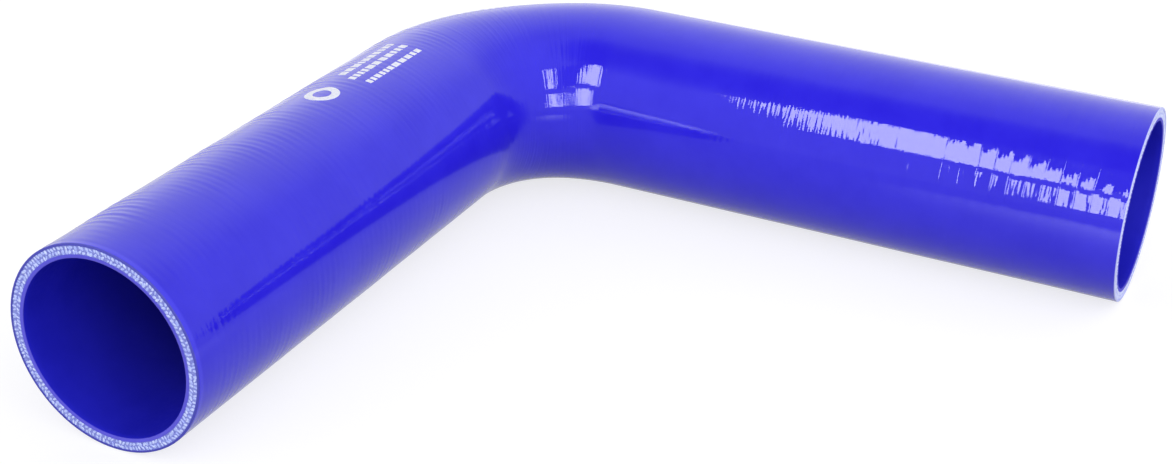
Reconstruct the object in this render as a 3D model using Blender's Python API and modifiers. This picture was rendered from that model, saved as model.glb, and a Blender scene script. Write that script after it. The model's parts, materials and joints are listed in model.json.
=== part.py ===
"""Silicone elbow hose: one moulded tube with a right-angled bend, lying on its side."""

import math

import bmesh
import bpy
from mathutils import Matrix, Vector

# Driving sizes, in metres and degrees.
bore_diameter = 0.060
wall_thickness = 0.005
leg_a_length = 0.248  # cut end to the corner where the two legs' axes cross
leg_b_length = 0.254
bend_radius = 0.060  # of the centreline
bend_turn = 90.0
bend_flattening = 0.030  # share of its height that the section loses halfway round the bend
end_edge_width = 0.0005  # the knife leaves the cut ends' edges a little eased

# How finely the round faces are divided, and which edges count as sharp.
ring_sides = 64
bend_steps = 24
cut_edge_angle = math.radians(60)
crease_angle = math.radians(30)
quarter_turn = math.radians(90)

outer_radius = bore_diameter / 2 + wall_thickness
turn = math.radians(bend_turn)
corner_to_bend = bend_radius * math.tan(turn / 2)

# While it is drawn, the corner of the two axes is the origin: leg A comes in along +Y
# and leg B leaves towards +X.
bend_centre = Vector((bend_radius, -corner_to_bend, 0.0))
leg_a_direction = Vector((0.0, 1.0, 0.0))
leg_b_direction = Matrix.Rotation(-turn, 3, "Z") @ leg_a_direction


def clear_scene():
    for obj in list(bpy.data.objects):
        bpy.data.objects.remove(obj)


def make_collection(name):
    collection = bpy.data.collections.new(name)
    bpy.context.scene.collection.children.link(collection)
    return collection


def silicone_material():
    material = bpy.data.materials.new("blue_silicone")
    material.use_nodes = True
    shader = material.node_tree.nodes["Principled BSDF"]
    shader.inputs["Base Color"].default_value = (0.018, 0.012, 0.66, 1.0)
    shader.inputs["Metallic"].default_value = 0.0
    shader.inputs["Roughness"].default_value = 0.3
    return material


def extrude_ring(bm, ring, travel):
    """Draws the ring of edges along a straight line and returns the new ring."""
    drawn = bmesh.ops.extrude_edge_only(bm, edges=ring)["geom"]
    moved = [item for item in drawn if isinstance(item, bmesh.types.BMVert)]
    bmesh.ops.translate(bm, verts=moved, vec=travel)
    return [item for item in drawn if isinstance(item, bmesh.types.BMEdge)]


def spin_ring(bm, ring):
    """Carries the ring of edges round the bend and returns the last ring."""
    spun = bmesh.ops.spin(
        bm, geom=ring, cent=bend_centre, axis=(0, 0, 1), angle=-turn, steps=bend_steps
    )["geom_last"]
    return [item for item in spun if isinstance(item, bmesh.types.BMEdge)]


def flatten_bend(bm):
    """Lowers the section's height by a smooth share that is largest halfway round the bend."""
    for vert in bm.verts:
        out = vert.co - bend_centre
        round_bend = math.atan2(out.y, -out.x) / turn
        if 0 < round_bend < 1:
            vert.co.z *= 1 - bend_flattening * math.sin(math.pi * round_bend) ** 2


def outer_skin():
    """The outside of the tube as an open surface, drawn from leg A's cut end to leg B's."""
    bm = bmesh.new()
    upright = Matrix.Rotation(quarter_turn, 4, "X")
    leg_a_end = Matrix.Translation(-leg_a_direction * leg_a_length)
    bmesh.ops.create_circle(
        bm, segments=ring_sides, radius=outer_radius, matrix=leg_a_end @ upright
    )
    ring = extrude_ring(bm, bm.edges[:], leg_a_direction * (leg_a_length - corner_to_bend))
    ring = spin_ring(bm, ring)
    extrude_ring(bm, ring, leg_b_direction * (leg_b_length - corner_to_bend))
    flatten_bend(bm)
    bmesh.ops.recalc_face_normals(bm, faces=bm.faces)
    return bm


def stand_on_origin(mesh):
    """Moves the mesh so that the origin is under the middle of its box, on what it lies on."""
    corners = [vert.co for vert in mesh.vertices]
    low = Vector(map(min, zip(*corners)))
    high = Vector(map(max, zip(*corners)))
    mesh.transform(Matrix.Translation((-(low.x + high.x) / 2, -(low.y + high.y) / 2, -low.z)))


def make_elbow_hose(collection):
    bm = outer_skin()
    mesh = bpy.data.meshes.new("elbow_hose")
    bm.to_mesh(mesh)
    bm.free()
    stand_on_origin(mesh)
    hose = bpy.data.objects.new("elbow_hose", mesh)
    collection.objects.link(hose)
    hose.data.materials.append(silicone_material())

    wall = hose.modifiers.new("wall", "SOLIDIFY")
    wall.thickness = wall_thickness
    wall.offset = -1.0
    wall.use_even_offset = True

    ends = hose.modifiers.new("eased_ends", "BEVEL")
    ends.width = end_edge_width
    ends.segments = 1
    ends.limit_method = "ANGLE"
    ends.angle_limit = cut_edge_angle

    mesh.shade_smooth()
    mesh.set_sharp_from_angle(angle=crease_angle)
    return hose


clear_scene()
make_elbow_hose(make_collection("silicone_elbow_hose"))
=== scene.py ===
import json
import math
import random

import bmesh
import bpy
from mathutils import Matrix, Vector, noise


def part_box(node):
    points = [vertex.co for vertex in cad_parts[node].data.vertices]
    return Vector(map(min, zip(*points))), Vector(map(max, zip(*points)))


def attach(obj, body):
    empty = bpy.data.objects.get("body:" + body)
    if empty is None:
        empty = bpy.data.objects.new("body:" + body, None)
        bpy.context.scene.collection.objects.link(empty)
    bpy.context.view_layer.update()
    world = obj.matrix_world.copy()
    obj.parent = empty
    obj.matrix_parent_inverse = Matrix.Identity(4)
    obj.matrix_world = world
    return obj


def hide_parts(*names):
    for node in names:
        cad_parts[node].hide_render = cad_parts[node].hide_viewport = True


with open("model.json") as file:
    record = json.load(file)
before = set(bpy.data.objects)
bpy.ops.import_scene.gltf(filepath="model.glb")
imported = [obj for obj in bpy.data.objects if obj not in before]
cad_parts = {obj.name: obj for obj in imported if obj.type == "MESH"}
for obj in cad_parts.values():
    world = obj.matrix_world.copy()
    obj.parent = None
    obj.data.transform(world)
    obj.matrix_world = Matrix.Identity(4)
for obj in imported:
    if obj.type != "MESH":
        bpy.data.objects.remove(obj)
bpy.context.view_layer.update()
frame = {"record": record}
mm = 0.001
up = Vector((0, 0, 1))
quarterTurn = math.pi / 2
fullTurn = 2 * math.pi
cutEdgeAngle = math.radians(60)
creaseAngle = math.radians(40)

# The hose's own form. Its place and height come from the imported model.
hose = {
    "node": "elbow_hose",
    "body": "root",
    "slot": "blue_silicone",
    "wall": 5.0 * mm,
    "bendRadius": 60.0 * mm,  # of the centreline
    "bendFlattening": 0.03,  # share of its height that the section loses halfway round
    "coverThickness": 0.9 * mm,
    "linerThickness": 1.2 * mm,
    "seamAngle": 1.5 * math.pi,  # the pattern's seam lies underneath
}

low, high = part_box(hose["node"])
mounts = {mount["name"]: Vector(mount["pos_m"]) for mount in frame["record"]["mounts"]}
outerRadius = (high[2] - low[2]) / 2
boreRadius = outerRadius - hose["wall"]
middleZ = low[2] + outerRadius
axisAX = mounts["leg_a_end"].x
axisBY = mounts["leg_b_end"].y
bendCentre = Vector((axisAX + hose["bendRadius"], axisBY - hose["bendRadius"], middleZ))
straightA = bendCentre.y - low[1]
straightB = high[0] - bendCentre.x
arcLength = quarterTurn * hose["bendRadius"]
hoseLength = straightA + arcLength + straightB


def centreAt(along):
    # The centreline's point, and the sideways direction away from the middle of the bend
    if along < straightA:
        return Vector((axisAX, low[1] + along, middleZ)), Vector((-1, 0, 0))
    if along > straightA + arcLength:
        rest = along - straightA - arcLength
        return Vector((bendCentre.x + rest, axisBY, middleZ)), Vector((0, 1, 0))
    turn = (along - straightA) / hose["bendRadius"]
    outward = Vector((-math.cos(turn), math.sin(turn), 0))
    return bendCentre + outward * hose["bendRadius"], outward


def flattening(along):
    share = (along - straightA) / arcLength
    return hose["bendFlattening"] * math.sin(math.pi * share) ** 2 if 0 < share < 1 else 0.0


def onHose(along, angle, radius):
    # angle 0 is the outside of the bend and a quarter turn is the top
    point, outward = centreAt(along)
    height = radius - outerRadius * flattening(along)
    return point + outward * math.cos(angle) * radius + up * math.sin(angle) * height


def whereOnHose(point):
    # The plain tube's along, angle and radius of a point, before the bend is flattened
    out = point - bendCentre
    turn = math.atan2(out.y, -out.x)
    if out.y <= 0:
        along, side = point.y - low[1], axisAX - point.x
    elif out.x >= 0:
        along, side = straightA + arcLength + out.x, point.y - axisBY
    else:
        along = straightA + turn * hose["bendRadius"]
        side = math.hypot(out.x, out.y) - hose["bendRadius"]
    return along, math.atan2(out.z, side) % fullTurn, math.hypot(side, out.z)


# Meshes
def carryRing(bm, ring, change):
    # Draws the ring of edges to its changed place and returns the new ring and its vertices
    drawn = bmesh.ops.extrude_edge_only(bm, edges=ring)["geom"]
    newVerts = [item for item in drawn if isinstance(item, bmesh.types.BMVert)]
    bmesh.ops.transform(bm, matrix=change, verts=newVerts)
    return [item for item in drawn if isinstance(item, bmesh.types.BMEdge)], newVerts


def resizeRing(bm, ring, factor):
    # A flat step from the ring to another size, as on a cut face
    verts = list(dict.fromkeys(vert for edge in ring for vert in edge.verts))
    centre = sum((vert.co for vert in verts), Vector()) / len(verts)
    there = Matrix.Translation(centre)
    return carryRing(bm, ring, there @ Matrix.Scale(factor, 4) @ there.inverted())[0]


def drawStraight(bm, ring, travel, spacing):
    # Draws the ring along a leg, then divides the leg into rings
    lastRing, lastVerts = carryRing(bm, ring, Matrix.Translation(travel))
    lastSet = set(lastVerts)
    touching = [(edge, vert) for vert in lastVerts for edge in vert.link_edges]
    lengthwise = [edge for edge, vert in touching if edge.other_vert(vert) not in lastSet]
    cuts = max(0, round(travel.length / spacing) - 1)
    if cuts:
        bmesh.ops.subdivide_edges(bm, edges=lengthwise, cuts=cuts, use_grid_fill=True)
    return lastRing


def drawBend(bm, ring, turn, spacing):
    steps = round(arcLength / spacing)
    spun = bmesh.ops.spin(bm, geom=ring, cent=bendCentre, axis=up, angle=turn, steps=steps)
    return [item for item in spun["geom_last"] if isinstance(item, bmesh.types.BMEdge)]


def makeLayer(outside, inside, sides, inset, rim=None):
    # One closed tube. Its skin is drawn up leg A's cut face, out to leg B's and back along the
    # bore. outside and inside are (radius, spacing); rim is (radius, width) of the rounded edge.
    bm = bmesh.new()
    outer, outerSpacing = outside
    inner, innerSpacing = inside
    start = Matrix.Translation((axisAX, low[1] + inset, middleZ))
    start = start @ Matrix.Rotation(quarterTurn, 4, "X")
    bmesh.ops.create_circle(bm, segments=sides, radius=inner, matrix=start)
    legA = Vector((0, straightA - inset, 0))
    legB = Vector((straightB - inset, 0, 0))
    ring = resizeRing(bm, bm.edges[:], outer / inner)
    ring = drawStraight(bm, ring, legA, outerSpacing)
    ring = drawBend(bm, ring, -quarterTurn, outerSpacing)
    ring = drawStraight(bm, ring, legB, outerSpacing)
    ring = resizeRing(bm, ring, inner / outer)
    ring = drawStraight(bm, ring, -legB, innerSpacing)
    ring = drawBend(bm, ring, quarterTurn, innerSpacing)
    drawStraight(bm, ring, -legA, innerSpacing)
    openVerts = [vert for vert in bm.verts if vert.is_boundary]
    bmesh.ops.remove_doubles(bm, verts=openVerts, dist=0.01 * mm)
    bmesh.ops.recalc_face_normals(bm, faces=bm.faces)
    if rim:
        rimRadius, rimWidth = rim
        rimEdges = []
        for edge in bm.edges:
            radius = whereOnHose(edge.verts[0].co)[2]
            if edge.calc_face_angle() > cutEdgeAngle and abs(radius - rimRadius) < 0.1 * mm:
                rimEdges.append(edge)
        bmesh.ops.bevel(
            bm, geom=rimEdges, offset=rimWidth, segments=2, profile=0.5, affect="EDGES", material=-1
        )
        bmesh.ops.recalc_face_normals(bm, faces=bm.faces)
    return bm


def dressTube(bm, relief=None):
    # Bends each point of the plain tube onto the hose's real section, with its relief,
    # and lays out the map: U once round the hose, V from leg A's end to leg B's.
    places = {}
    for vert in bm.verts:
        along, angle, radius = whereOnHose(vert.co)
        places[vert] = (along, angle)
        lift = relief(along, angle, radius, vert.co) if relief else 0.0
        vert.co = onHose(along, angle, radius + lift)
    layer = bm.loops.layers.uv.new("hoseMap")
    for face in bm.faces:
        angles = [places[loop.vert][1] - hose["seamAngle"] for loop in face.loops]
        rounds = [(angle % fullTurn) / fullTurn for angle in angles]
        wraps = max(rounds) - min(rounds) > 0.5
        for loop, share in zip(face.loops, rounds):
            if wraps and share < 0.5:
                share += 1.0
            loop[layer].uv = (share, places[loop.vert][0] / hoseLength)


def finishPiece(bm, name, material, replaces=None):
    mesh = bpy.data.meshes.new(name)
    bm.to_mesh(mesh)
    bm.free()
    mesh.shade_smooth()
    mesh.set_sharp_from_angle(angle=creaseAngle)
    piece = bpy.data.objects.new(name, mesh)
    bpy.context.scene.collection.objects.link(piece)
    mesh.materials.append(material)
    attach(piece, hose["body"])
    if replaces:
        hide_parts(replaces)
    print(name, "-", len(mesh.polygons), "faces")
    return piece


# Shading
class Wire:
    # Wraps one socket of a shader tree, so that arithmetic on it adds Math nodes
    def __init__(self, tree, socket=None):
        self.tree = tree
        self.socket = socket

    def node(self, kind, settings, values, output=0):
        made = self.tree.nodes.new(kind)
        for name, value in settings.items():
            setattr(made, name, value)
        for name, value in values.items():
            if isinstance(value, Wire):
                self.tree.links.new(value.socket, made.inputs[name])
            else:
                made.inputs[name].default_value = value
        return Wire(self.tree, made.outputs[output] if made.outputs else None)

    def maths(self, operation, *values):
        return self.node("ShaderNodeMath", {"operation": operation}, dict(enumerate(values)))

    def __add__(self, other):
        return self.maths("ADD", self, other)

    def __sub__(self, other):
        return self.maths("SUBTRACT", self, other)

    def __rsub__(self, other):
        return self.maths("SUBTRACT", other, self)

    def __mul__(self, other):
        return self.maths("MULTIPLY", self, other)

    __radd__ = __add__
    __rmul__ = __mul__

    def blend(self, colourA, colourB):
        # This mask's share of colour B over colour A
        values = {"Factor": self, 6: colourA, 7: colourB}
        return self.node("ShaderNodeMix", {"data_type": "RGBA"}, values, 2)

    def between(self, start, end, first=0.0, last=1.0):
        # A smooth step of this value from first to last
        return self.node(
            "ShaderNodeMapRange",
            {"interpolation_type": "SMOOTHSTEP"},
            {"Value": self, "From Min": start, "From Max": end, "To Min": first, "To Max": last},
        )

    def split(self):
        return [self.node("ShaderNodeSeparateXYZ", {}, {"Vector": self}, axis) for axis in range(3)]

    def vector(self, x, y, z):
        return self.node("ShaderNodeCombineXYZ", {}, {"X": x, "Y": y, "Z": z})

    def noise(self, place, scale, detail=2.0, roughness=0.5):
        values = {"Vector": place, "Scale": scale, "Detail": detail, "Roughness": roughness}
        return self.node("ShaderNodeTexNoise", {}, values)


def newMaterial(name):
    material = bpy.data.materials.new(name)
    material.use_nodes = True
    material.node_tree.nodes.clear()
    return material, Wire(material.node_tree)


def output(material, shader):
    shader.node("ShaderNodeOutputMaterial", {}, {"Surface": shader})
    return material


def inMillimetres(pen):
    # The piece's own coordinates
    place = pen.node("ShaderNodeTexCoord", {}, {}, 3)
    return place.node("ShaderNodeVectorMath", {"operation": "SCALE"}, {0: place, "Scale": 1 / mm})


def hoseCoordinates(pen):
    # Millimetres along the hose, the share of a turn round it, and the piece's own millimetres
    share, length, _ = pen.node("ShaderNodeUVMap", {"uv_map": "hoseMap"}, {}).split()
    return length * (hoseLength / mm), share, inMillimetres(pen)


def fromNearerEnd(along):
    middle = hoseLength / mm / 2
    offset = along - middle
    return middle - offset.maths("ABSOLUTE", offset)


# The tape that is wound round the hose while it cures leaves its marks on the cover. They are
# plainest high up on leg A's outer side, faint on its inner side, and fade round the bend, so
# that leg B is nearly smooth.
tape = {
    "advance": 5.8,  # mm along the hose for each turn of the tape
    "drift": ((1.6, 38), (0.6, 13)),  # how far the winding wanders and over what distance, in mm
    "ribPitch": 2.9,
    "ribHeight": 0.026 * mm,
    "ribWeights": (1.3, 0.6),  # of the ribs at ribPitch and of those at each turn
    "ribPatches": (0.7, 1.5, 14),  # least strength, its unevenness and the patches' size in mm
    "ribAngle": math.radians(50),  # where round the hose the ribs are highest
    "ribRise": (0.5, 2.2),  # their strength all round, and what is added at that angle
    "farRibs": 0.18,  # share of that addition on the opposite side
    "legBShare": 0.07,  # of the ribs' height
    "fadeLead": 30 * mm,  # how far before the bend the ribs start to fade
    "hollow": 0.038 * mm,  # fall of the cover between two creases, near leg B's end
    "swell": 0.05 * mm,  # slow unevenness of the cover
    "swellSizes": (46, 17),
    "skinMargin": 0.13 * mm,  # keeps every high spot inside the plain model
}


def tapeRelief(along, angle, radius, point):
    if radius < outerRadius - hose["coverThickness"] / 2:
        return 0.0
    place = point / mm
    (farWander, farSize), (nearWander, nearSize) = tape["drift"]
    drift = farWander * noise.noise(place / farSize) + nearWander * noise.noise(place / nearSize)
    turned = (angle - hose["seamAngle"]) % fullTurn
    wound = along / mm + tape["advance"] * turned / fullTurn + drift
    pitchWeight, turnWeight = tape["ribWeights"]
    rib = pitchWeight * math.sin(fullTurn * wound / tape["ribPitch"])
    rib += turnWeight * math.sin(fullTurn * wound / tape["advance"])
    least, uneven, patchSize = tape["ribPatches"]
    strength = least + uneven * noise.noise(place / patchSize + Vector((7, 3, 1)))
    lead = tape["fadeLead"]
    past = min(1, max(0, (along - straightA + lead) / (arcLength + lead)))
    strength *= 1 - (1 - tape["legBShare"]) * past
    allRound, added = tape["ribRise"]
    facing = math.cos(angle - tape["ribAngle"])
    strength *= allRound + added * facing ** 6 * (1 if facing > 0 else tape["farRibs"])
    wide, narrow = tape["swellSizes"]
    swell = noise.noise(place / wide + Vector((2, 9, 4)))
    swell += 0.45 * noise.noise(place / narrow + Vector((5, 1, 8)))
    return tape["ribHeight"] * rib * strength + tape["swell"] * swell - tape["skinMargin"]


silicone = {
    "colour": (0.020, 0.012, 0.66, 1),
    "paleColour": (0.026, 0.018, 0.70, 1),
    "cutColourA": (0.045, 0.048, 0.42, 1),
    # leg B's cut face, painted pale as a painted sheen
    "cutSheenColourB": (0.56, 0.60, 0.98, 1),
    "lipColour": (0.06, 0.05, 0.86, 1),
    "lipShare": 0.5,
    "roughness": (0.018, 0.045),
    "legADullness": 0.05,  # added to the roughness, so that leg A's reflections are softer
    "cutRoughness": 0.5,
    "ior": 1.43,
    "lineDepth": 0.030 * mm,
    "lineScale": (1.1, 0.16),  # of the fine lines' noise, along the hose and across it
    "creaseScale": (0.65, 0.012, 0.014),  # of the bend's creases, along, sideways and up
    "creaseDepth": 3.0,  # beside the fine lines
    "creaseWidth": 0.06,  # of a turn of the tape, each side of its edge
}


def makeSilicone():
    material, pen = newMaterial("blue_silicone")
    along, share, place = hoseCoordinates(pen)
    bendStart, bendEnd = straightA / mm, (straightA + arcLength) / mm
    inBend = along.between(bendStart - 5, bendStart + 25)
    inBend = inBend * along.between(bendEnd - 25, bendEnd + 5, 1.0, 0.0)
    nearEndB = along.between(bendEnd + 90, bendEnd + 150)
    # Fine lines across the hose, left by the tape's weave, and the bend's wider creases
    side, forward, height = place.split()
    lengthwise, across = silicone["lineScale"]
    linePlace = pen.vector(along * lengthwise, (side + forward) * across, height * across)
    lines = pen.noise(linePlace, 1.0, 0.0)
    lines = lines * along.between(bendEnd + 30, bendEnd + 90, 0.6, 1.3) * (1.0 - nearEndB * 0.55)
    lengthwise, sideways, upwards = silicone["creaseScale"]
    creasePlace = pen.vector(along * lengthwise, (side - forward) * sideways, height * upwards)
    creases = pen.noise(creasePlace, 1.0, 1.0, 0.4) * inBend
    # The tape's overlapping edge cuts a thin crease at each turn
    wound = along + share * tape["advance"] + pen.noise(place, 0.05, 1.0) * 2.5
    turns = wound * (1 / tape["advance"])
    edge = turns.maths("FRACT", turns)
    width = silicone["creaseWidth"]
    crease = edge.between(0.0, width) * edge.between(1.0 - width, 1.0, 1.0, 0.0)
    crease = crease * pen.noise(place, 0.09, 1.0).between(0.4, 0.6, 0.15, 0.85)
    hollow = edge * (edge - 1) * (4 * tape["hollow"] / silicone["lineDepth"])
    hollow = hollow * nearEndB * pen.noise(place, 0.07, 1.0).between(0.35, 0.65, 0.5, 1.25)
    relief = lines + creases * silicone["creaseDepth"] + crease * nearEndB + hollow
    values = {"Height": relief, "Strength": 1.0, "Distance": silicone["lineDepth"]}
    bump = pen.node("ShaderNodeBump", {}, values)
    cloud = pen.noise(place, 0.05, 3.0, 0.6)
    colour = cloud.between(0.3, 0.75).blend(silicone["colour"], silicone["paleColour"])
    # The knife's cut at both ends is dull, and leg A's skin beside it a little paler
    lip = along.between(1.4, 2.6, silicone["lipShare"], 0.0)
    colour = lip.blend(colour, silicone["lipColour"])
    moulded = fromNearerEnd(along).between(0.1, 0.5)
    # Leg B's cut face is painted paler than leg A's, a painted sheen of its edge-on view
    cut = along.between(bendStart, bendEnd).blend(silicone["cutColourA"], silicone["cutSheenColourB"])
    colour = moulded.blend(cut, colour)
    smooth, dull = silicone["roughness"]
    rough = pen.noise(place, 0.12, 3.0, 0.6).between(0.3, 0.75, smooth, dull)
    rough = rough + along.between(bendStart - 30, bendStart + 20, silicone["legADullness"], 0.0)
    rough = rough + (1.0 - moulded) * silicone["cutRoughness"]
    values = {"Base Color": colour, "Roughness": rough, "IOR": silicone["ior"], "Normal": bump}
    return output(material, pen.node("ShaderNodeBsdfPrincipled", {}, values))


# The cover carries the tape's relief, so its outside is the finest skin of the model.
cover = {
    "sides": 104,
    "spacing": 0.62 * mm,
    "hiddenSpacing": 12 * mm,
    "rimWidth": 0.3 * mm,
    "recess": 0.02 * mm,
}


def makeCover():
    print("moulding the cover")
    outside = (outerRadius, cover["spacing"])
    inside = (outerRadius - hose["coverThickness"], cover["hiddenSpacing"])
    bm = makeLayer(outside, inside, cover["sides"], cover["recess"], (outerRadius, cover["rimWidth"]))
    dressTube(bm, tapeRelief)
    piece = finishPiece(bm, "hose_cover", makeSilicone(), replaces=hose["node"])


plies = {
    "sides": 96,
    "spacing": 6 * mm,
    "recess": 0.22 * mm,
    "overlap": 0.05 * mm,
    "colour": (0.13, 0.155, 0.58, 1),
    "paleColour": (0.26, 0.30, 0.74, 1),
    "legBSheenColour": (0.46, 0.50, 0.94, 1),  # leg B's cut face is painted paler, a painted sheen
    "roughness": 0.6,
}
plyOutside = outerRadius - hose["coverThickness"]
plyInside = boreRadius + hose["linerThickness"]


def makePlyMaterial():
    material, pen = newMaterial("rubbered_fabric")
    along, _, place = hoseCoordinates(pen)
    grain = pen.noise(place, 1.6, 3.0, 0.7)
    bump = pen.node("ShaderNodeBump", {}, {"Height": grain, "Strength": 1.0, "Distance": 0.15 * mm})
    colour = grain.between(0.35, 0.65).blend(plies["colour"], plies["paleColour"])
    # Leg B's cut face is painted paler than leg A's, a painted sheen of its edge-on view
    colour = along.between(100, 300).blend(colour, plies["legBSheenColour"])
    values = {"Base Color": colour, "Roughness": plies["roughness"], "Normal": bump}
    return output(material, pen.node("ShaderNodeBsdfPrincipled", {}, values))


def makePlies():
    print("laying up the fabric plies")
    outside = (plyOutside + plies["overlap"], plies["spacing"])
    inside = (plyInside - plies["overlap"], plies["spacing"])
    bm = makeLayer(outside, inside, plies["sides"], plies["recess"])
    dressTube(bm)
    finishPiece(bm, "fabric_plies", makePlyMaterial())


liner = {
    "sides": 96,
    "spacing": 2.5 * mm,
    "hiddenSpacing": 12 * mm,
    "rimWidth": 0.3 * mm,
    "recess": 0.1 * mm,
    "colour": (0.013, 0.013, 0.55, 1),
    "paleColour": (0.017, 0.017, 0.61, 1),
    # painted shade: the bore's colour deep inside, away from the mouths
    "paintedShadeColour": (0.008, 0.008, 0.24, 1),
    "paintedShadeDepth": 90,  # mm from a mouth to where the bore's painted shade is full
    "cutColour": (0.11, 0.10, 0.66, 1),
    "roughness": (0.6, 0.7),
    "ior": 1.16,
}


def makeLinerSilicone():
    material, pen = newMaterial("liner_silicone")
    along, _, place = hoseCoordinates(pen)
    grain = pen.noise(place, 0.5, 3.0, 0.6)
    bump = pen.node("ShaderNodeBump", {}, {"Height": grain, "Strength": 0.6, "Distance": 0.05 * mm})
    # The bore is painted darker away from both mouths, a painted shade deep inside it, and the
    # liner's cut face is pale
    fromEnd = fromNearerEnd(along)
    cloud = pen.noise(place, 0.06, 3.0).between(0.3, 0.7)
    colour = cloud.blend(liner["colour"], liner["paleColour"])
    # painted shade, growing with depth into the bore
    colour = fromEnd.between(0, liner["paintedShadeDepth"]).blend(colour, liner["paintedShadeColour"])
    colour = fromEnd.between(0.15, 0.45).blend(liner["cutColour"], colour)
    rough = grain.between(0.3, 0.7, *liner["roughness"])
    values = {"Base Color": colour, "Roughness": rough, "IOR": liner["ior"], "Normal": bump}
    return output(material, pen.node("ShaderNodeBsdfPrincipled", {}, values))


def makeLiner():
    print("lining the bore")
    outside = (plyInside, liner["hiddenSpacing"])
    inside = (boreRadius, liner["spacing"])
    bm = makeLayer(outside, inside, liner["sides"], liner["recess"], (boreRadius, liner["rimWidth"]))
    dressTube(bm)
    finishPiece(bm, "inner_liner", makeLinerSilicone())


# Each ply's yarns, cut through, stand in slanting strokes round both cut faces.
yarn = {
    "rows": 2,
    "pitch": 1.38 * mm,
    "length": 1.75 * mm,
    "width": 0.95 * mm,
    "stand": 0.19 * mm,
    "lean": math.radians(30),
    # How far each stroke may be off, as a share of the pitch, in radians and in mm
    "unevenPlace": 0.28,
    "unevenLean": 0.6,
    "unevenRadius": 0.2,
    "colour": (0.36, 0.44, 0.90, 1),
    "paleColour": (0.63, 0.71, 1.0, 1),
    # leg B's yarn ends, painted paler as a painted sheen
    "legBSheenColour": (0.66, 0.71, 1.0, 1),
    "roughness": 0.55,
}


def makeYarnMaterial():
    material, pen = newMaterial("polyester_yarn")
    place = inMillimetres(pen)
    grain = pen.noise(place, 4.0, 3.0, 0.7)
    bump = pen.node("ShaderNodeBump", {}, {"Height": grain, "Strength": 1.0, "Distance": 0.08 * mm})
    mottle = pen.noise(place, 0.7, 2.0).between(0.35, 0.7)
    colour = mottle.blend(yarn["colour"], yarn["paleColour"])
    side = place.split()[0]
    # The yarn ends on leg B's side are painted paler, a painted sheen of that edge-on face
    colour = side.between(0, 100).blend(colour, yarn["legBSheenColour"])
    values = {"Base Color": colour, "Roughness": yarn["roughness"], "Normal": bump}
    return output(material, pen.node("ShaderNodeBsdfPrincipled", {}, values))


def makeYarnEnds(name, along, facing, seed):
    print("cutting the yarns of", name)
    chance = random.Random(seed)
    bm = bmesh.new()
    band = plyOutside - plyInside
    centre, outward = centreAt(along)
    for row in range(yarn["rows"]):
        radius = plyInside + band * (row + 0.5) / yarn["rows"]
        count = round(fullTurn * radius / yarn["pitch"])
        for stroke in range(count):
            shift = chance.uniform(-yarn["unevenPlace"], yarn["unevenPlace"])
            angle = fullTurn * (stroke + 0.5 * row + shift) / count
            turn = chance.uniform(-yarn["unevenLean"], yarn["unevenLean"])
            lean = yarn["lean"] * (1 if row % 2 else -1) + turn
            spoke = outward * math.cos(angle) + up * math.sin(angle)
            tangent = facing.cross(spoke)
            lengthwise = spoke * math.cos(lean) + tangent * math.sin(lean)
            crosswise = facing.cross(lengthwise)
            size = (
                yarn["length"] * chance.uniform(0.7, 1.1) / 2,
                yarn["width"] * chance.uniform(0.65, 1.2) / 2,
                yarn["stand"] * chance.uniform(0.6, 1.0),
            )
            turned = Matrix((lengthwise, crosswise, facing)).transposed().to_4x4()
            step = chance.uniform(-yarn["unevenRadius"], yarn["unevenRadius"]) * mm
            place = Matrix.Translation(centre + spoke * (radius + step))
            shape = place @ turned @ Matrix.Diagonal((*size, 1))
            bmesh.ops.create_uvsphere(bm, u_segments=8, v_segments=5, radius=1.0, matrix=shape)
    bmesh.ops.recalc_face_normals(bm, faces=bm.faces)
    finishPiece(bm, name, yarnMaterial)


# Plain printed marks: an open ring and three broken lines, draped on the top of leg A.
marks = {
    "ringAlong": 125.5 * mm,
    "ringAngle": 84.0,
    "ringRadius": 6.2 * mm,
    "ringBand": 2.9 * mm,
    # Degrees round the hose, where along it each line starts and ends, and the line's height
    "lines": (
        (97.5, 142 * mm, 177 * mm, 2.4 * mm),
        (87.0, 141 * mm, 176 * mm, 2.8 * mm),
        (77.0, 144 * mm, 176 * mm, 3.2 * mm),
    ),
    "blockLength": (1.4, 3.6),  # shortest and longest, in mm
    "gap": 0.9 * mm,
    "sunk": 0.08 * mm,
    "stand": 0.05 * mm,
    "colour": (0.79, 0.81, 0.90, 1),
    "wornColour": (0.60, 0.61, 0.85, 1),
    "roughness": (0.35, 0.55),
}


def makeInkMaterial():
    material, pen = newMaterial("white_ink")
    worn = pen.noise(inMillimetres(pen), 1.3, 3.0, 0.6)
    colour = worn.between(0.45, 0.72).blend(marks["colour"], marks["wornColour"])
    rough = worn.between(0.3, 0.7, *marks["roughness"])
    shader = pen.node("ShaderNodeBsdfPrincipled", {}, {"Base Color": colour, "Roughness": rough})
    return output(material, shader)


def drapeMark(bm, flatVerts, alongCentre, angleCentre):
    # Gives a flat mark its thickness and lays it, closed all round, onto the cover
    faces = list(dict.fromkeys(face for vert in flatVerts for face in vert.link_faces))
    raised = bmesh.ops.extrude_face_region(bm, geom=faces, use_keep_orig=True)["geom"]
    topVerts = [item for item in raised if isinstance(item, bmesh.types.BMVert)]
    bmesh.ops.translate(bm, verts=topVerts, vec=(0, 0, marks["sunk"] + marks["stand"]))
    for vert in flatVerts + topVerts:
        along = alongCentre + vert.co.x
        angle = math.radians(angleCentre) + vert.co.y / outerRadius
        lift = tapeRelief(along, angle, outerRadius, onHose(along, angle, outerRadius))
        vert.co = onHose(along, angle, outerRadius + lift + vert.co.z - marks["sunk"])


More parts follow.
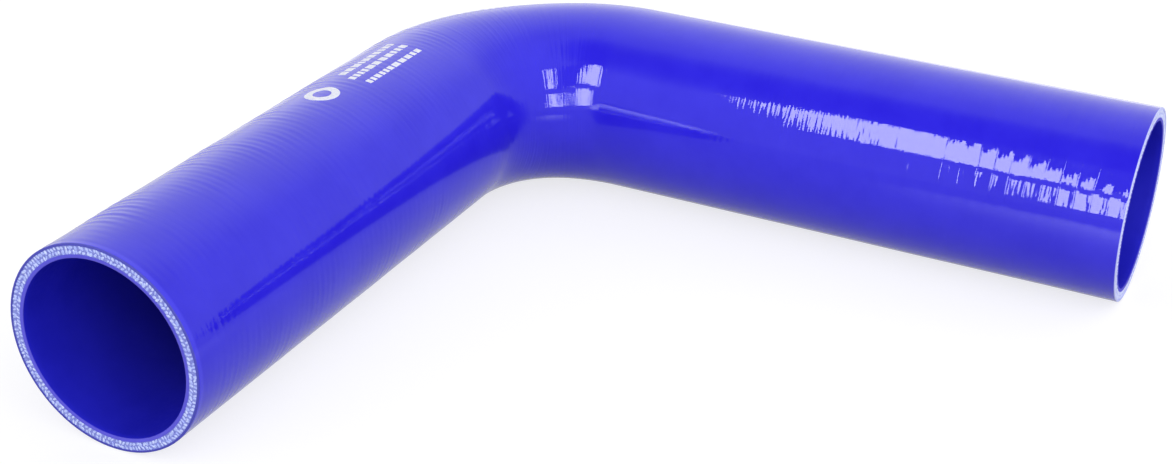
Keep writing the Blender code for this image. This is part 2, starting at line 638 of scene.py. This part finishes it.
def makeMarks():
    print("printing the marks")
    chance = random.Random(4)
    bm = bmesh.new()
    for angle, along, end, height in marks["lines"]:
        while along < end:
            length = chance.uniform(*marks["blockLength"]) * mm
            shape = Matrix.Diagonal((length, height, 1, 1))
            made = bmesh.ops.create_grid(bm, x_segments=6, y_segments=5, size=0.5, matrix=shape)
            drapeMark(bm, made["verts"], along + length / 2, angle)
            along += length + marks["gap"]
    made = bmesh.ops.create_circle(bm, segments=48, radius=marks["ringRadius"])
    flatVerts = made["verts"]
    ring = list(dict.fromkeys(edge for vert in flatVerts for edge in vert.link_edges))
    steps = 3
    for step in range(steps):
        radius = marks["ringRadius"] - marks["ringBand"] * step / steps
        factor = (radius - marks["ringBand"] / steps) / radius
        ring, ringVerts = carryRing(bm, ring, Matrix.Scale(factor, 4))
        flatVerts = flatVerts + ringVerts
    drapeMark(bm, flatVerts, marks["ringAlong"], marks["ringAngle"])
    bmesh.ops.recalc_face_normals(bm, faces=bm.faces)
    finishPiece(bm, "print_marks", makeInkMaterial())


# The studio. Its surroundings are uneven, as a lit room is. Panes of window light behind the
# camera, and a dark card that hides part of them, show only in reflections.
studio = {
    "floorSize": 6.0,
    "floorShade": 0.34,  # the floor's own grey
    "floorGlow": 0.74,  # to the camera, so that it looks white
    "floorShine": 0.50,  # its glow in reflections, and a soft patch of window light on it
    "floorPatch": ((0.145, -0.09), 0.15, 1.9),  # its middle, radius and extra glow
    # Extra glow of the floor behind the hose: its direction in x and y, where it starts and is
    # full in metres, and its strength, then where it fades on the left and the share left there
    "floorBehind": ((-0.6, 0.8), 0.16, 0.4, 0.75),
    "floorLeft": (-0.4, -0.15, 0.35),
    # How bright the surroundings are, where 1 is white, and the patches where that changes:
    # turn from +Y, height and width in degrees, and the change
    "light": (1.60, ((-20, 20, 90, -0.92), (168, 22, 62, 0.90), (200, 68, 60, -1.25))),
    # The same, as the cover reflects it
    "shine": (0.98, ((-28, 30, 50, 0.62), (-150, 68, 27, -0.84))),
    "paneDistance": 3.0,
    "paneStrength": 13.0,
    "windowCentre": (0.02, 0.08, 0.05),  # the panes' turns and heights are seen from here
    "cardStrength": 0.35,
}
# Each pane's corners in order round it, as (turn from +Y, height) in degrees
panes = {
    "left_upper": (
        (176, 32.5), (187, 32), (188.8, 29), (191.5, 30), (197, 27), (208, 47), (204, 54), (177, 54),
    ),
    "left_lower": ((168, 5), (187.6, 5), (189.3, 23.6), (186.3, 24), (185, 26.7), (168, 26)),
    "right_upper": ((124, 28), (133.5, 28), (128, 53), (116.5, 53)),
    "right_lower": ((125, 4), (141, 4), (139, 21), (124, 21)),
    "slit_a": ((147.5, 28), (149.7, 28), (149, 54), (147, 54)),
    "slit_b": ((158.5, 29), (161.2, 29), (166, 51), (163.5, 51)),
    "slit_c": ((149, 5), (151, 5), (151, 23), (149, 23)),
    "slit_d": ((160, 4), (162.5, 4), (162.5, 21), (160, 21)),
    "slit_e": ((148, 40), (176, 40), (176, 42), (148, 42)),
}
# The card's corners in metres
card = (
    (0.06, -0.45, 0.378),
    (0.4, -0.45, 0.374),
    (0.4, -0.45, 0.94),
    (-0.18, -0.45, 0.94),
    (-0.055, -0.45, 0.672),
    (0.002, -0.45, 0.55),
)


def direction(turn, height):
    turn, height = math.radians(turn), math.radians(height)
    level = math.cos(height)
    return Vector((math.sin(turn) * level, math.cos(turn) * level, math.sin(height)))


def makeGlow(name, corners, strength):
    # A flat sheet of light that only reflections show
    bm = bmesh.new()
    made = bmesh.ops.create_circle(bm, cap_ends=True, segments=len(corners), radius=1)
    for vert, corner in zip(made["verts"], corners):
        vert.co = corner
    mesh = bpy.data.meshes.new(name)
    bm.to_mesh(mesh)
    bm.free()
    sheet = bpy.data.objects.new(name, mesh)
    bpy.context.scene.collection.objects.link(sheet)
    material, pen = newMaterial(name)
    glow = pen.node("ShaderNodeEmission", {}, {"Color": (1, 1, 1, 1), "Strength": strength})
    mesh.materials.append(output(material, glow))
    sheet.visible_diffuse = False
    sheet.visible_camera = False
    sheet.visible_shadow = False


def brightness(towards, level, patches):
    strength = level
    for turn, height, width, change in patches:
        values = {0: towards, 1: direction(turn, height)}
        near = towards.node("ShaderNodeVectorMath", {"operation": "DOT_PRODUCT"}, values, "Value")
        strength = near.between(math.cos(math.radians(width)), 1.0) * change + strength
    return strength


def makeWorld():
    world = bpy.data.worlds.new("studio")
    bpy.context.scene.world = world
    world.use_nodes = True
    world.node_tree.nodes.clear()
    pen = Wire(world.node_tree)
    towards = pen.node("ShaderNodeTexCoord", {}, {}, 0)
    light = brightness(towards, *studio["light"])
    shine = brightness(towards, *studio["shine"])
    reflected = pen.node("ShaderNodeLightPath", {}, {}, 3)
    strength = light + reflected * (shine - light)
    shader = pen.node("ShaderNodeBackground", {}, {"Color": (1, 1, 1, 1), "Strength": strength})
    shader.node("ShaderNodeOutputWorld", {}, {"Surface": shader})


def makeFloor():
    bm = bmesh.new()
    level = Matrix.Translation((0, 0, low[2]))
    half = studio["floorSize"] / 2
    bmesh.ops.create_grid(bm, x_segments=1, y_segments=1, size=half, matrix=level)
    mesh = bpy.data.meshes.new("floor")
    bm.to_mesh(mesh)
    bm.free()
    floor = bpy.data.objects.new("floor", mesh)
    bpy.context.scene.collection.objects.link(floor)
    material, pen = newMaterial("pale_floor")
    shade = studio["floorShade"]
    seen = pen.node("ShaderNodeLightPath", {}, {}, 0)
    seen = seen.maths("MAXIMUM", seen, pen.node("ShaderNodeLightPath", {}, {}, 6))
    reflected = pen.node("ShaderNodeLightPath", {}, {}, 3)
    (x, y), radius, change = studio["floorPatch"]
    place = pen.node("ShaderNodeTexCoord", {}, {}, 3)
    values = {0: place, 1: (x, y, low[2])}
    away = pen.node("ShaderNodeVectorMath", {"operation": "DISTANCE"}, values, "Value")
    side, forward, _ = place.split()
    (towardsX, towardsY), start, full, extra = studio["floorBehind"]
    behind = (side * towardsX + forward * towardsY).between(start, full, 0.0, extra)
    leftEnd, leftStart, leftShare = studio["floorLeft"]
    behind = behind * side.between(leftEnd, leftStart, leftShare, 1.0)
    shine = away.between(0.0, radius, change, 0.0) + behind + studio["floorShine"]
    diffuse = pen.node("ShaderNodeBsdfDiffuse", {}, {"Color": (shade, shade, shade, 1)})
    strength = seen * studio["floorGlow"] + reflected * shine
    glow = pen.node("ShaderNodeEmission", {}, {"Color": strength, "Strength": 1.0})
    shader = pen.node("ShaderNodeAddShader", {}, {0: diffuse, 1: glow})
    mesh.materials.append(output(material, shader))


camera = {
    "turn": 25.675,  # degrees from the -Y side towards +X
    "height": 27.419,
    "roll": 1.318,
    "distance": 0.634717,
    "target": (-0.017105, -0.004528, 0.035),
    "lens": 58.03,
    "sensor": 36.0,
}


def makeCamera():
    data = bpy.data.cameras.new("camera")
    data.lens = camera["lens"]
    data.sensor_width = camera["sensor"]
    eye = bpy.data.objects.new("camera", data)
    back = direction(180 - camera["turn"], camera["height"])
    rolled = Matrix.Rotation(math.radians(camera["roll"]), 3, "Z")
    turned = back.to_track_quat("Z", "Y").to_matrix() @ rolled
    place = Vector(camera["target"]) + back * camera["distance"]
    eye.matrix_world = Matrix.Translation(place) @ turned.to_4x4()
    bpy.context.scene.collection.objects.link(eye)
    bpy.context.scene.camera = eye


makeCamera()
makeWorld()
makeFloor()
windowCentre = Vector(studio["windowCentre"])
for paneName, edges in panes.items():
    corners = [windowCentre + direction(*edge) * studio["paneDistance"] for edge in edges]
    makeGlow(paneName, corners, studio["paneStrength"])
makeGlow("card", card, studio["cardStrength"])
bpy.context.scene.view_settings.view_transform = "Standard"

makeCover()
makePlies()
makeLiner()
yarnMaterial = makeYarnMaterial()
makeYarnEnds("yarn_ends_a", plies["recess"], Vector((0, -1, 0)), 11)
makeYarnEnds("yarn_ends_b", hoseLength - plies["recess"], Vector((1, 0, 0)), 12)
makeMarks()
